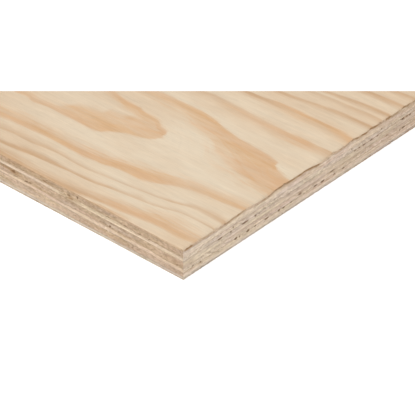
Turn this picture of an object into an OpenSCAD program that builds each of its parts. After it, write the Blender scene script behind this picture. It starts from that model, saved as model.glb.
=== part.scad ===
// Softwood plywood sheet, seven plies.
// Peeled veneers are laid up with their grain alternately along and across
// the sheet, glued, pressed and trimmed square, so every ply runs out to the
// same four sawn edges. The sheet lies flat with its back on the floor: X runs
// along the face grain, Y across it and Z up, and the origin is under the middle.

/* [Sheet] */
// Length of the sheet, along the face grain
sheet_length = 2440; // [300:1:3050]
// Width of the sheet, across the face grain
sheet_width = 1220; // [300:1:1525]

/* [Veneers] */
// Thickness of the sanded face veneer, grain along the sheet
face_thickness = 1.6; // [0.6:0.1:4]
// Thickness of each crossband, grain across the sheet
crossband_thickness = 3.4; // [0.8:0.1:4.5]
// Thickness of each inner veneer with its grain along the sheet
core_thickness = 2.3; // [0.8:0.1:4.5]
// Thickness of the back veneer, grain along the sheet
back_thickness = 1.6; // [0.6:0.1:4]

/* [Colours] */
// Pale sapwood of the face and back
face_colour = "#e6cfae"; // [#e6cfae, #d9b98a, #f0e0c6]
// Crossbands, whose end grain shows on the long edges
crossband_colour = "#c4a580"; // [#c4a580, #a98a66, #d8bf9c]
// Inner veneers, whose long grain shows on the long edges
core_colour = "#dcc19c"; // [#dcc19c, #c9ab82, #ead5b5]

/* [Hidden] */
// The lay-up, listed from the back veneer up to the face.
LAYUP = [
    back_thickness,
    crossband_thickness,
    core_thickness,
    crossband_thickness,
    core_thickness,
    crossband_thickness,
    face_thickness
];

// Height of a ply's underside: the sum of all plies below it.
function ply_base(index) = index == 0 ? 0 : ply_base(index - 1) + LAYUP[index - 1];

// One veneer of the lay-up, trimmed to the sheet and seated on the ply below.
module veneer(index) {
    translate([-sheet_length / 2, -sheet_width / 2, ply_base(index)])
        cube([sheet_length, sheet_width, LAYUP[index]]);
}

module back_veneer() {
    color(face_colour) veneer(0);
}

module lower_crossband() {
    color(crossband_colour) veneer(1);
}

module lower_core_veneer() {
    color(core_colour) veneer(2);
}

module middle_crossband() {
    color(crossband_colour) veneer(3);
}

module upper_core_veneer() {
    color(core_colour) veneer(4);
}

module upper_crossband() {
    color(crossband_colour) veneer(5);
}

module face_veneer() {
    color(face_colour) veneer(6);
}

back_veneer();
lower_crossband();
lower_core_veneer();
middle_crossband();
upper_core_veneer();
upper_crossband();
face_veneer();
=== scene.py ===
import bpy
import math
import numpy as np
from mathutils import Matrix, Vector


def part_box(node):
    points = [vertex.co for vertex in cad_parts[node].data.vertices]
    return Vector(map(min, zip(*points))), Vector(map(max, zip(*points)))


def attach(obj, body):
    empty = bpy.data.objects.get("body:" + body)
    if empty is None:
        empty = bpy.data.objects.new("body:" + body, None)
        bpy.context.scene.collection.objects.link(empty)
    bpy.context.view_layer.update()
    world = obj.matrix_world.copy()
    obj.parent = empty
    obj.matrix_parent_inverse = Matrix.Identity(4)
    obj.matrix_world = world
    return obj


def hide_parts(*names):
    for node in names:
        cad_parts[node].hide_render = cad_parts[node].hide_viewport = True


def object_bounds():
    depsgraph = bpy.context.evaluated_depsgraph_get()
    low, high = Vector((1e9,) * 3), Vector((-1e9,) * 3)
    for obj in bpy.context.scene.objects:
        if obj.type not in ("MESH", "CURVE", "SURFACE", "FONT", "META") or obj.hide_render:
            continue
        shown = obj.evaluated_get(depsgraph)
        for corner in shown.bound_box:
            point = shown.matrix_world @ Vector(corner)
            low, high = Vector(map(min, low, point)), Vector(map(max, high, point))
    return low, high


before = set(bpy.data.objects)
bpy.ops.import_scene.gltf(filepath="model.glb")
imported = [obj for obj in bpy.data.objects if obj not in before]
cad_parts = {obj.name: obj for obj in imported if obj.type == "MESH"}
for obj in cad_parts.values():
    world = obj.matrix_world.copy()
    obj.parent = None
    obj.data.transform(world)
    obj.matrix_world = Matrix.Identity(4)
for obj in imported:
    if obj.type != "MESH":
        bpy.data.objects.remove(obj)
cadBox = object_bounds()

# The sheet lies flat and centred: x runs along the face grain, y across it, z up through the plies.
mm = 0.001
halfLength = cadBox[1].x
halfWidth = cadBox[1].y
sheetTop = cadBox[1].z
# The plies from the floor up, and the slot of each.
slots = dict(
    back_veneer="back_veneer",
    lower_crossband="crossband",
    lower_core_veneer="core_veneer",
    middle_crossband="crossband",
    upper_core_veneer="core_veneer",
    upper_crossband="crossband",
    face_veneer="face_veneer",
)
plyNodes = list(slots)
plyLevels = np.array([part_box(node)[0].z for node in plyNodes] + [sheetTop])


# Camera

photoView = dict(
    azimuth=41.756,                # degrees round the sheet, 0 looks along +Y
    elevation=34.689,              # degrees above the floor
    lens=203.6,                    # mm, on a sensor this wide:
    sensor=36.0,
    imageSize=415,                 # pixels each way
    cornerPixel=(183.35, 280.12),  # the near corner at floor level
    cornerDepth=1.115,             # m from the camera to that corner, along the view
    farClip=200,                   # m
    cropRow=91,                    # the picture of the sheet is cut off level with this row
    cardDepth=0.01,                # m from the lens to the white card that cuts it off
    cardSpare=1.1,                 # how far the card reaches, with the picture's own sides at 1
)


def placeCamera(shot):
    # Place: the near corner, plus its depth along the view, less its offset from the picture's middle.
    # Crop card: a strip two millimetres wide, close to the lens, over all rows above the crop row.
    turn = math.radians(shot["azimuth"])
    tilt = math.radians(shot["elevation"])
    right = Vector((math.cos(turn), math.sin(turn), 0))
    back = Vector((math.sin(turn) * math.cos(tilt), -math.cos(turn) * math.cos(tilt), math.sin(tilt)))
    up = back.cross(right)
    focal = shot["lens"] / shot["sensor"] * shot["imageSize"]
    middle = shot["imageSize"] / 2
    aside = (shot["cornerPixel"][0] - middle) / focal
    under = (shot["cornerPixel"][1] - middle) / focal
    corner = Vector((halfLength, -halfWidth, 0))
    place = corner + shot["cornerDepth"] * (back - right * aside + up * under)
    data = bpy.data.cameras.new("photoCamera")
    data.sensor_width = shot["sensor"]
    data.lens = shot["lens"]
    data.clip_start = shot["cardDepth"] / 2
    data.clip_end = shot["farClip"]
    camera = bpy.data.objects.new("photoCamera", data)
    bpy.context.scene.collection.objects.link(camera)
    camera.matrix_world = Matrix.Translation(place) @ Matrix((right, up, back)).transposed().to_4x4()
    bpy.context.scene.camera = camera
    side = shot["cardSpare"] * middle / focal
    low = (middle - shot["cropRow"]) / focal
    outline = [(-side, low), (side, low), (side, side), (-side, side)]
    spots = [place + shot["cardDepth"] * (right * u + up * v - back) for u, v in outline]
    card = bpy.data.meshes.new("cropCard")
    card.from_pydata(spots, [], [(0, 1, 2, 3)])
    return card


cropCard = placeCamera(photoView)
print("camera placed")


# Node helpers

def feed(tree, socket, value):
    # Links a socket, or sets a plain value.
    if isinstance(value, bpy.types.NodeSocket):
        tree.links.new(value, socket)
    else:
        socket.default_value = value


def addNode(tree, kind, inputs=None, **settings):
    # A node of this kind, with its settings set and its inputs fed by name.
    node = tree.nodes.new(kind)
    for name, value in settings.items():
        setattr(node, name, value)
    for name, value in (inputs or {}).items():
        feed(tree, node.inputs[name], value)
    return node


def calc(tree, operation, *values):
    # One sum on numbers or sockets.
    node = addNode(tree, "ShaderNodeMath", operation=operation)
    for socket, value in zip(node.inputs, values):
        feed(tree, socket, value)
    return node.outputs[0]


def product(tree, total, *values):
    # All the values multiplied, one after another.
    for value in values:
        total = calc(tree, "MULTIPLY", total, value)
    return total


def remap(tree, value, low, high, toLow=0.0, toHigh=1.0, eased=True):
    # Carries low to high onto toLow to toHigh, eased at both ends and held beyond them.
    inputs = {"Value": value, "From Min": low, "From Max": high, "To Min": toLow, "To Max": toHigh}
    kind = "SMOOTHSTEP" if eased else "LINEAR"
    return addNode(tree, "ShaderNodeMapRange", inputs, interpolation_type=kind).outputs[0]


def mixColour(tree, share, first, second, blend="MIX"):
    # From the first colour to the second, or to their product, by a share that is held from 0 to 1.
    node = addNode(tree, "ShaderNodeMix", data_type="RGBA", blend_type=blend)
    feed(tree, node.inputs[0], share)
    feed(tree, node.inputs[6], first)
    feed(tree, node.inputs[7], second)
    return node.outputs[2]


def readValue(tree, name):
    # A number that the mesh holds at each vertex.
    return addNode(tree, "ShaderNodeAttribute", attribute_name=name).outputs["Fac"]


seedShift = (3.7, 1.9, 5.3)    # waves that each seed moves a noise by


def look(waves, seed, detail, rough=0.5, span=(0.3, 0.7), tone=(0.0, 1.0), eased=True):
    # A noise: its waves per metre, seed, detail and roughness, and the tones that a span of it is carried to.
    return dict(waves=waves, seed=seed, detail=detail, rough=rough, span=span, tone=tone, eased=eased)


def grain(tree, coords, noise, seed, turn=(0, 0, 0), onEnd=False):
    # Noise with its own number of waves per metre along each axis, after the coordinates are turned. On an
    # end of the sheet the first two axes change places.
    along, deep, up = noise["waves"]
    waves = (deep, along, up) if onEnd else (along, deep, up)
    shift = [(seed + noise["seed"]) * step for step in seedShift]
    turned = addNode(tree, "ShaderNodeMapping", {"Vector": coords, "Rotation": turn})
    place = {"Vector": turned.outputs[0], "Scale": waves, "Location": shift}
    stretched = addNode(tree, "ShaderNodeMapping", place)
    inputs = {"Vector": stretched.outputs[0], "Scale": 1.0,
              "Detail": noise["detail"], "Roughness": noise["rough"]}
    return addNode(tree, "ShaderNodeTexNoise", inputs).outputs[0]


def grainTone(tree, coords, noise, seed, turn=(0, 0, 0), onEnd=False):
    # That noise, carried from its span onto its tone.
    value = grain(tree, coords, noise, seed, turn, onEnd)
    return remap(tree, value, *noise["span"], *noise["tone"], noise["eased"])


def linear(colour):
    # From 0 to 255 as a screen shows it, to the light that a shader reckons with.
    share = np.array(colour) / 255
    light = np.where(share > 0.04045, ((share + 0.055) / 1.055) ** 2.4, share / 12.92)
    return (*light, 1.0)


def startMaterial(name):
    # A material with no nodes yet.
    material = bpy.data.materials.new(name)
    material.use_nodes = True
    tree = material.node_tree
    tree.nodes.clear()
    return material, tree


def endMaterial(tree, colour, roughness, height, bumpDepth, specular):
    # Bare wood: matt, with a bump of the given depth in metres.
    bumpInputs = {"Height": height, "Distance": bumpDepth, "Strength": 1.0}
    bump = addNode(tree, "ShaderNodeBump", bumpInputs).outputs[0]
    inputs = {"Base Color": colour, "Roughness": roughness, "Normal": bump, "Specular IOR Level": specular}
    shader = addNode(tree, "ShaderNodeBsdfPrincipled", inputs)
    addNode(tree, "ShaderNodeOutputMaterial", {"Surface": shader.outputs[0]})


# Stage

studio = dict(
    floorHalf=60.0,          # m, so that its rim stays out of every view
    floorDrop=0.2 * mm,      # below the sheet, so that the two don't share a plane
    floorColour=(0.9, 0.9, 0.9, 1.0),
    floorRoughness=0.9,
    floorGlow=0.55,          # seen by the camera alone: it bleaches the contact shadow
    seenWhite=1.15,          # world and card as the camera sees them, past white so that they stay even
    worldLight=0.72,
    keyStrength=0.9,
    keyAngle=50.0,           # degrees across, so shadows are soft
    keyTilt=(20.0, -15.0),   # degrees about x and y, off straight down
    fillStrength=0.45,
    fillElevation=12.0,
)


def makeStage(values):
    # A square floor, and the card, both white to the camera.
    floorMesh = bpy.data.meshes.new("floor")
    reach = values["floorHalf"]
    level = -values["floorDrop"]
    corners = [(-reach, -reach, level), (reach, -reach, level), (reach, reach, level), (-reach, reach, level)]
    floorMesh.from_pydata(corners, [], [(0, 1, 2, 3)])
    floor = bpy.data.objects.new("floor", floorMesh)
    bpy.context.scene.collection.objects.link(floor)
    material, tree = startMaterial("paleFloor")
    seen = addNode(tree, "ShaderNodeLightPath").outputs["Is Camera Ray"]
    glow = product(tree, seen, values["floorGlow"])
    inputs = {"Base Color": values["floorColour"], "Roughness": values["floorRoughness"],
              "Specular IOR Level": 0.0, "Emission Color": (1, 1, 1, 1), "Emission Strength": glow}
    shader = addNode(tree, "ShaderNodeBsdfPrincipled", inputs)
    addNode(tree, "ShaderNodeOutputMaterial", {"Surface": shader.outputs[0]})
    floorMesh.materials.append(material)
    material, tree = startMaterial("whiteCard")
    shader = addNode(tree, "ShaderNodeEmission", {"Color": (1, 1, 1, 1), "Strength": values["seenWhite"]})
    addNode(tree, "ShaderNodeOutputMaterial", {"Surface": shader.outputs[0]})
    cropCard.materials.append(material)
    card = bpy.data.objects.new("cropCard", cropCard)
    bpy.context.scene.collection.objects.link(card)


def makeLight(values):
    # White to the camera, softer as light; one wide key from above and one low fill from the front.
    world = bpy.data.worlds.new("whiteRoom")
    world.use_nodes = True
    tree = world.node_tree
    tree.nodes.clear()
    seen = addNode(tree, "ShaderNodeLightPath").outputs["Is Camera Ray"]
    strength = remap(tree, seen, 0.0, 1.0, values["worldLight"], values["seenWhite"], eased=False)
    room = addNode(tree, "ShaderNodeBackground", {"Color": (1, 1, 1, 1), "Strength": strength})
    addNode(tree, "ShaderNodeOutputWorld", {"Surface": room.outputs[0]})
    bpy.context.scene.world = world
    fillTurn = (math.radians(90 - values["fillElevation"]), 0, math.radians(photoView["azimuth"]))
    keyTurn = (math.radians(values["keyTilt"][0]), math.radians(values["keyTilt"][1]), 0)
    for name, strength, turn in (("key", values["keyStrength"], keyTurn),
                                 ("fill", values["fillStrength"], fillTurn)):
        data = bpy.data.lights.new(name, "SUN")
        data.energy = strength
        data.angle = math.radians(values["keyAngle"])
        lamp = bpy.data.objects.new(name, data)
        lamp.rotation_euler = turn
        bpy.context.scene.collection.objects.link(lamp)
    bpy.context.scene.view_settings.view_transform = "Standard"
    bpy.context.scene.view_settings.look = "None"


makeStage(studio)
makeLight(studio)
print("stage lit")


# Number helpers

def ease(low, high, x):
    # 0 at low, 1 at high, with a level start and end.
    t = np.clip((x - low) / (high - low), 0, 1)
    return t * t * (3 - 2 * t)


# Factors that scatter neighbouring steps, and the bits that are kept.
hashSteps = dict(column=374761393, row=668265263, seed=974711, mix=1274126177)
lowBits = 0xFFFFFFFF


def hashNoise(u, v, seed):
    # A hashed number from -1 to 1 at each whole step of u and v, eased between the four around a point.
    u, v = np.broadcast_arrays(u, v)
    column = np.floor(u).astype(np.int64)
    row = np.floor(v).astype(np.int64)
    right = ease(0, 1, u - column)
    up = ease(0, 1, v - row)

    def number(across, along):
        # The key's factors are added, and its high bits folded onto its low ones before and after the mix.
        key = (column + across) * hashSteps["column"] + (row + along) * hashSteps["row"]
        key = key + seed * hashSteps["seed"]
        key = (key ^ (key >> 13)) * hashSteps["mix"] & lowBits
        return ((key ^ (key >> 16)) & lowBits) / (lowBits / 2) - 1

    lower = number(0, 0) * (1 - right) + number(1, 0) * right
    upper = number(0, 1) * (1 - right) + number(1, 1) * right
    return lower * (1 - up) + upper * up


def shareNoise(u, v, seed):
    # The same noise, from 0 to 1.
    return 0.5 + 0.5 * hashNoise(u, v, seed)


def smoothLines(points, at):
    # A cubic for each column after the first, through all its points with no overshoot: the slope at a point
    # is the harmonic mean of the slopes on both sides, or level at a turn. Past both ends it is held.
    place, *columns = np.array(points, float).T
    step = np.diff(place)
    at = np.clip(at, place[0], place[-1])
    i = np.clip(np.searchsorted(place, at) - 1, 0, len(step) - 1)
    t = (at - place[i]) / step[i]
    lines = []
    for value in columns:
        chord = np.diff(value) / step
        product = chord[:-1] * chord[1:]
        inner = np.where(product > 0, 2 * product / np.where(product > 0, chord[:-1] + chord[1:], 1), 0)
        slope = np.concatenate([chord[:1], inner, chord[-1:]])
        start = (1 - t) ** 2 * ((1 + 2 * t) * value[i] + t * step[i] * slope[i])
        end = t ** 2 * ((3 - 2 * t) * value[i + 1] + (t - 1) * step[i] * slope[i + 1])
        lines.append(start + end)
    return lines


# Growth rings of the face and back

# The face figure at the near corner. Each line is one band of latewood, at points in mm: back from the
# right-hand end, in from the front edge to the band's sharp outer side, the band's width, and where it is
# read, how far the soft side reaches before it.
cornerFigure = dict(
    below=[
        [(0, 42.5, 5.2, 5), (10, 41.5, 5.4, 4), (20, 40.3, 5.6, 4), (30, 39, 4.7, 6), (35, 37.6, 5.2, 6),
         (40, 35.9, 6, 5), (50, 31, 8, 5), (60, 29.2, 7.8, 5), (70, 28.9, 6.5, 5), (80, 27, 5.8, 5),
         (100, 25.9, 5.5, 5), (120, 26.2, 5, 5), (130, 25.7, 5.2, 5), (140, 24.5, 6, 5), (170, 22.5, 6, 5)],
        [(0, 27.8, 3.6), (10, 28.3, 3.6), (15, 28.5, 3), (20, 28.2, 2.4), (25, 26.8, 1.6), (30, 25.3, 1.2),
         (40, 23.5, 1), (60, 20.8, 1.1), (70, 19.8, 1.1), (85, 18.1, 1.2), (100, 18.9, 1.5), (110, 18.3, 1.8),
         (120, 17, 2.4), (130, 17.2, 2.2), (140, 16, 2), (170, 13, 2)],
        [(0, 21.4, 1.4), (10, 21.9, 1.4), (20, 21.3, 1.4), (30, 18.6, 1.3), (40, 16.4, 1.4), (46, 15.6, 2.6),
         (52, 14.7, 2.2), (60, 13.9, 1.5), (70, 12.1, 1.5), (90, 10.8, 1.6), (100, 10.3, 2.4), (110, 9.2, 3),
         (120, 8, 2.6), (130, 7, 2), (170, 2, 2)],
        [(0, 7, 5.5, 4), (5, 5.9, 6.8, 5), (10, 5.7, 7.4, 5), (20, 6, 8, 5.5), (28, 5.3, 7.5, 5.5),
         (34, 4.8, 6, 4.5), (40, 3.8, 5.8, 4.5), (50, 2.6, 4.8, 4), (60, 1.6, 4, 3), (70, 0.2, 3.4, 3),
         (80, -0.4, 3, 3.2), (90, -0.8, 2.6, 3.4), (100, -0.8, 2.4, 3.8), (110, -0.6, 2.4, 4),
         (120, -0.3, 2.6, 4), (128, 0, 2.8, 4), (140, -1, 2.8, 4), (170, -3, 3, 4)],
        [(0, -8, 3), (30, -6, 3), (40, -3, 3.5), (50, -2, 3.3), (60, -2.8, 3), (70, -4.5, 3.5), (90, -7, 4),
         (170, -22, 3)],
    ],
    above=[
        [(0, 78, 14.5, 4), (5, 78.8, 15, 4), (8, 80, 15.5, 4), (11, 81.2, 16.5, 4), (13, 83.2, 18, 5),
         (13.6, 85.6, 19.5, 6), (16, 87, 20.5, 6), (20, 88, 20.5, 6), (25, 88.5, 18.5, 8),
         (30, 89.2, 16.2, 12), (40, 89.3, 11, 16), (45, 89.8, 9.5, 16), (50, 90.8, 8, 11), (56, 92.2, 8, 8),
         (63, 94.6, 9.7, 6), (70, 96, 9.7, 6), (75, 96.5, 8.2, 5), (80, 96.5, 7.2, 5), (100, 96.2, 6.5, 5),
         (110, 95, 6, 4), (140, 92, 6, 3), (170, 92, 6, 3)],
        [(0, 111.5, 4.2, 6), (5, 111.4, 4.4, 6), (10, 111.2, 4.8, 6), (20, 111.2, 5.2, 6),
         (30, 110.7, 5.2, 5), (50, 111.2, 5.2, 4), (60, 111.8, 4.8, 4), (70, 112.4, 4.2, 4),
         (76, 112.8, 3.2, 4), (80, 113, 3, 4), (86, 112, 3.5, 4), (110, 110.5, 3.5, 4), (170, 108, 3.5, 4)],
        [(0, 128.2, 5.5), (10, 129.2, 5), (20, 129.8, 4.3), (35, 130.2, 5.2), (50, 129.2, 4.2),
         (60, 127.8, 3), (70, 127, 2.8), (100, 124, 3), (170, 119, 3)],
        [(0, 143.5, 2.6), (20, 143.2, 2.7), (30, 142, 2.6), (40, 140.5, 2.2), (57, 138.2, 2.4),
         (100, 134, 2.5), (170, 129, 2.5)],
        [(0, 151.5, 2.2), (10, 151.7, 2.4), (20, 151.2, 2.5), (40, 150, 2.4), (100, 144, 2.4),
         (170, 138, 2.4)],
        [(0, 158.3, 2.6), (10, 158.4, 2.8), (20, 157.4, 2.8), (38, 154.8, 2.4), (100, 149.5, 2.5),
         (170, 144, 2.5)],
        [(0, 170, 3.2), (10, 170, 3.4), (20, 169.2, 3), (60, 166, 3), (170, 158, 3)],
        [(0, 179.8, 2.3), (20, 178, 2.3), (170, 170, 2.3)],
        [(0, 190, 2.5), (170, 181, 2.5)],
        [(0, 199, 2.5), (170, 190, 2.5)],
    ],
    edgeBlur=2.4,          # mm at most over which the sharp side of a band fades
    lineBlur=(0.3, 0.45),  # mm over which it fades by itself, and for each mm of its band
    softReach=(0.8, 0.6),  # mm that a soft side reaches by itself, and for each mm of its band
    softMost=0.8,          # but no more than this share of the pale wood before it
    greyWidth=(2.5, 6.0),  # mm: a band this narrow is grey-brown, and one this wide is orange
    fullWidth=(10, 18),    # mm: between these widths a band comes to darken sooner, by
    fullSooner=0.08,       # this part of a ring
    ringBeyond=10,         # mm from line to line past the last one
    # The tongue of latewood between the first lines below and above: mm back, and mm in to its two sides.
    # Before its tip the two sides are one line in the pale wood.
    tongueTip=71.5,
    tipLength=4,           # mm past the tip, over which its sides come to fade
    tongueLow=[
        (0, 54), (30, 54), (50, 58), (71.5, 64.5), (73, 62), (76, 60), (80, 57.6), (85, 56.2), (90, 54.7),
        (92, 53.2), (95, 51.9), (97, 50.6), (100, 47.5), (103, 46.4), (115, 46.4), (135, 46.8), (140, 45.6),
        (146, 44.5), (149, 46), (152, 46.8), (158, 46), (170, 45),
    ],
    tongueHigh=[
        (0, 54), (30, 54), (50, 58), (71.5, 64.5), (74, 69), (75, 70.8), (80, 72), (83, 74), (86, 75.5),
        (95, 76), (97, 76.5), (99.5, 78.5), (105, 78), (110, 78), (115, 79.2), (120, 80.3), (130, 82),
        (170, 84),
    ],
    # How far in from each side the latewood fills it.
    fillLow=[(0, 20), (110, 20), (112, 16), (118, 15), (122, 13.5), (128, 10.5), (131, 6.7), (135, 4.2),
             (140, 5), (170, 5.5)],
    fillHigh=[(0, 6), (95, 6), (100, 6.7), (103, 6.3), (107, 5.7), (112, 3.7), (118, 4), (170, 4)],
    fillFade=3.5,          # mm from there to pale wood
    paleLift=(55, 0.2),    # before the tip: mm back, and part of a ring on that one line
    # How strong each band is, from the tongue outward: a number, or points in mm back.
    tongueStrength=0.78,
    belowStrength=[
        [(0, 0.8), (10, 0.7), (30, 0.68), (42, 0.85), (55, 1.05), (70, 0.9), (90, 1.05), (170, 1.05)],
        [(0, 1.0), (12, 0.8), (30, 0.7), (40, 0.45), (70, 0.45), (90, 0.55), (110, 0.7), (170, 0.7)],
        [(0, 0.7), (18, 0.42), (40, 0.55), (55, 0.65), (68, 1.0), (170, 0.9)],
        [(0, 0.75), (20, 0.88), (40, 0.9), (55, 1.15), (70, 1.0), (100, 1.0), (115, 1.25), (170, 1.0)],
        0.8,
    ],
    aboveStrength=[
        [(0, 0.98), (70, 1.0), (88, 0.85), (170, 0.9)],
        [(0, 0.65), (8, 0.7), (18, 1.05), (30, 0.78), (55, 0.62), (170, 0.65)],
        1.0, 1.0, 0.55, 0.85, 0.9, 0.8, 0.7, 0.7,
    ],
    palePatch=(48, 62, 70, 60),    # mm back, mm in, and its two half lengths
    fadeSpan=(200, 480),           # mm from the corner, over which the free figure takes over
    fadeStretch=2,                 # how much further off that is along the grain
)

# Parts of a ring: where the pale wood begins to darken, where the band begins, where it begins to fade. A
# band that begins late fades late.
ringParts = dict(
    rise=0.3,
    band=0.5,
    fade=0.75,
    lateBand=0.6,
    lateFade=0.92,
)

# The free figure of a peeled veneer: waves of three sizes, each in mm along and across the grain, and in
# rings. The lengths are mm along a ring over which a value changes.
freeFigure = dict(
    waves=[(1700, 210, 8.5), (640, 84, 2.4), (190, 33, 0.5)],
    faceSeeds=(11, 71),
    backSeeds=(57, 72),
    offset=5,
    ringJump=3.31,     # so that neighbouring rings read the noise far apart
    paleShare=0.64,    # of each ring, give or take:
    paleSpread=0.12,
    paleLength=260,
    strength=0.8,
    strengthSpread=0.2,
    strengthLength=180,
    greyLength=300,
    seedSteps=(5, 6, 7),     # for those three
    driftSize=(420, 110),    # mm along and across, over which the wood turns paler
)
figureNames = ("rings", "pale", "strength", "grey", "bleach")


def progress(start, stop, at):
    # How far at has come from start to stop, held at 0 and 1.
    return np.clip((at - start) / (stop - start), 0, 1)


def cornerRings(back, inward, figure):
    # Ring count, rising outward from the tongue. Each ring has four stretches, and takes its own part of the
    # count over each: pale wood, the soft side, the band, and the fading sharp side. Inside the tongue the
    # count falls again in the same way, from either side. The pale patch is a bell in both directions.
    rise, band, fade = (ringParts[name] for name in ("rise", "band", "fade"))
    low, high, fillLow, fillHigh = (smoothLines(figure[name], back)[0] for name in
                                    ("tongueLow", "tongueHigh", "fillLow", "fillHigh"))
    blur = figure["edgeBlur"]
    tip = figure["tongueTip"]
    liftStart, liftMost = figure["paleLift"]
    lift = liftMost * (1 - ease(liftStart, tip, back))
    spread = blur / 2 * ease(tip, tip + figure["tipLength"], back)
    low = low - spread
    high = high + spread
    inside = []
    for depth, fill in ((inward - low, fillLow), (high - inward, fillHigh)):
        count = 1 - (1 - fade) * progress(0, blur, depth) - (fade - band) * progress(blur, fill, depth)
        inside.append(count - (band - rise / 2) * progress(fill, fill + 2 * figure["fillFade"], depth))
    rings = np.where((inward > low) & (inward < high), np.maximum(*inside), 1 + lift)
    strength = np.full_like(rings, figure["tongueStrength"])
    grey = np.zeros_like(rings)
    bandStart = np.full_like(rings, band)
    reachLeast, reachRate = figure["softReach"]
    blurLeast, blurRate = figure["lineBlur"]
    for start, outward, side in ((low, -1, "below"), (high, 1, "above")):
        pale = rise - lift
        for line, lineStrength in zip(figure[side], figure[side + "Strength"]):
            edge, width, *reach = smoothLines(line, back)
            if isinstance(lineStrength, list):
                lineStrength = smoothLines(lineStrength, back)[0]
            soft = edge - outward * width
            reach = reach[0] if reach else reachLeast + reachRate * width
            dark = soft - outward * np.minimum(reach, figure["softMost"] * np.abs(soft - start))
            lineBlur = np.minimum(blurLeast + blurRate * width, blur)
            near = edge - outward * lineBlur / 2
            far = edge + outward * lineBlur / 2
            stretches = ((pale, start, dark), (band - rise, dark, soft), (fade - band, soft, near),
                         (1 - fade, near, far))
            for part, begin, stop in stretches:
                rings = rings + part * progress(begin, stop, inward)
            isHere = outward * (inward - (start + dark) / 2) > 0
            strength = np.where(isHere, lineStrength, strength)
            grey = np.where(isHere, 1 - ease(*figure["greyWidth"], width), grey)
            sooner = figure["fullSooner"] * ease(*figure["fullWidth"], width)
            bandStart = np.where(isHere, band - sooner, bandStart)
            start = far
            pale = rise
        rings = rings + np.clip(outward * (inward - start) / figure["ringBeyond"], 0, None)
    patchBack, patchIn, halfBack, halfIn = figure["palePatch"]
    patch = np.exp(-((back - patchBack) / halfBack) ** 2 - ((inward - patchIn) / halfIn) ** 2)
    return rings, bandStart, strength, grey, patch


def freeRings(back, inward, figure, seed, driftSeed):
    # The sum of the three waves, each a noise stretched along the grain. Pale share and strength change from
    # ring to ring and slowly along it.
    rings = 0
    for i, (along, across, count) in enumerate(figure["waves"]):
        rings = rings + count * hashNoise(back / along, inward / across, seed + i)
    rings = rings + figure["offset"]
    whole = np.floor(rings) * figure["ringJump"]
    paleSeed, strengthSeed, greySeed = (seed + step for step in figure["seedSteps"])
    paleNoise = hashNoise(whole, back / figure["paleLength"], paleSeed)
    strengthNoise = hashNoise(whole, back / figure["strengthLength"], strengthSeed)
    pale = figure["paleShare"] + figure["paleSpread"] * paleNoise
    strength = figure["strength"] + figure["strengthSpread"] * strengthNoise
    grey = shareNoise(whole, back / figure["greyLength"], greySeed)
    driftAlong, driftAcross = figure["driftSize"]
    drift = shareNoise(back / driftAlong, inward / driftAcross, driftSeed)
    return rings, pale, strength, grey, drift


def veneerFigure(x, y, isFace):
    # The free figure. On the face, the figure read at the corner passes into it with distance.
    back = (halfLength - x) / mm
    inward = (y + halfWidth) / mm
    values = freeRings(back, inward, freeFigure, *freeFigure["faceSeeds" if isFace else "backSeeds"])
    if isFace:
        away = ease(*cornerFigure["fadeSpan"], np.hypot(back / cornerFigure["fadeStretch"], inward))
        near = cornerRings(back, inward, cornerFigure)
        values = [n * (1 - away) + f * away for n, f in zip(near, values)]
    return dict(zip(figureNames, values))


# Outline of the sheet

# Steps in mm. Near the corner that the photograph shows, all is fine, and further off it grows coarse.
meshSteps = dict(
    firstCell=2.5,     # beside the edge, wide enough for the rounded arris
    fineAlong=2.5,
    fineAcross=1.0,
    nearAlong=180,
    nearAcross=200,
    coarseAlong=24.0,
    coarseAcross=8.0,
    growth=1.25,
    fineEdge=0.25,     # along the two edges at the corner
    fineBelow=3.2,     # for cells no longer than this
    farEdge=6.0,       # along the rest of the edges
    fullRelief=1.0,    # stations no further apart than this carry all the fine relief
)


def gradedLines(total, way):
    # Distances from the corner: one first step, even fine steps, steps that grow by a fixed ratio, then even
    # coarse ones.
    near, fine, coarse = (meshSteps[name + way] for name in ("near", "fine", "coarse"))
    first = meshSteps["firstCell"]
    growth = meshSteps["growth"]
    growing = fine * growth ** np.arange(1, math.ceil(math.log(coarse / fine) / math.log(growth)) + 1)
    even = np.full(round((near - first) / fine), fine)
    rest = total - first - even.sum() - growing.sum()
    count = round(rest / coarse)
    steps = np.concatenate([[first], even, growing, np.full(count, rest / count)])
    return np.concatenate([[0], np.cumsum(steps)])


def splitLines(lines, counts):
    # Each gap between two lines cut into its own count of equal steps; the last line is left off.
    starts = np.cumsum(counts) - counts
    place = np.arange(counts.sum()) - np.repeat(starts, counts)
    return np.repeat(lines[:-1], counts) + np.repeat(np.diff(lines) / counts, counts) * place


def edgeCounts(lines, isNear):
    # Parts to each cell: fine ones where the photograph looks, and otherwise enough for the far step.
    gaps = np.abs(np.diff(lines)) / mm
    fine = np.round(gaps / meshSteps["fineEdge"])
    far = np.ceil(gaps / meshSteps["farEdge"])
    return np.where(isNear & (gaps < meshSteps["fineBelow"]), fine, far).astype(int)


xLines = halfLength - gradedLines(2 * halfLength / mm, "Along")[::-1] * mm
yLines = -halfWidth + gradedLines(2 * halfWidth / mm, "Across") * mm

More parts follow.
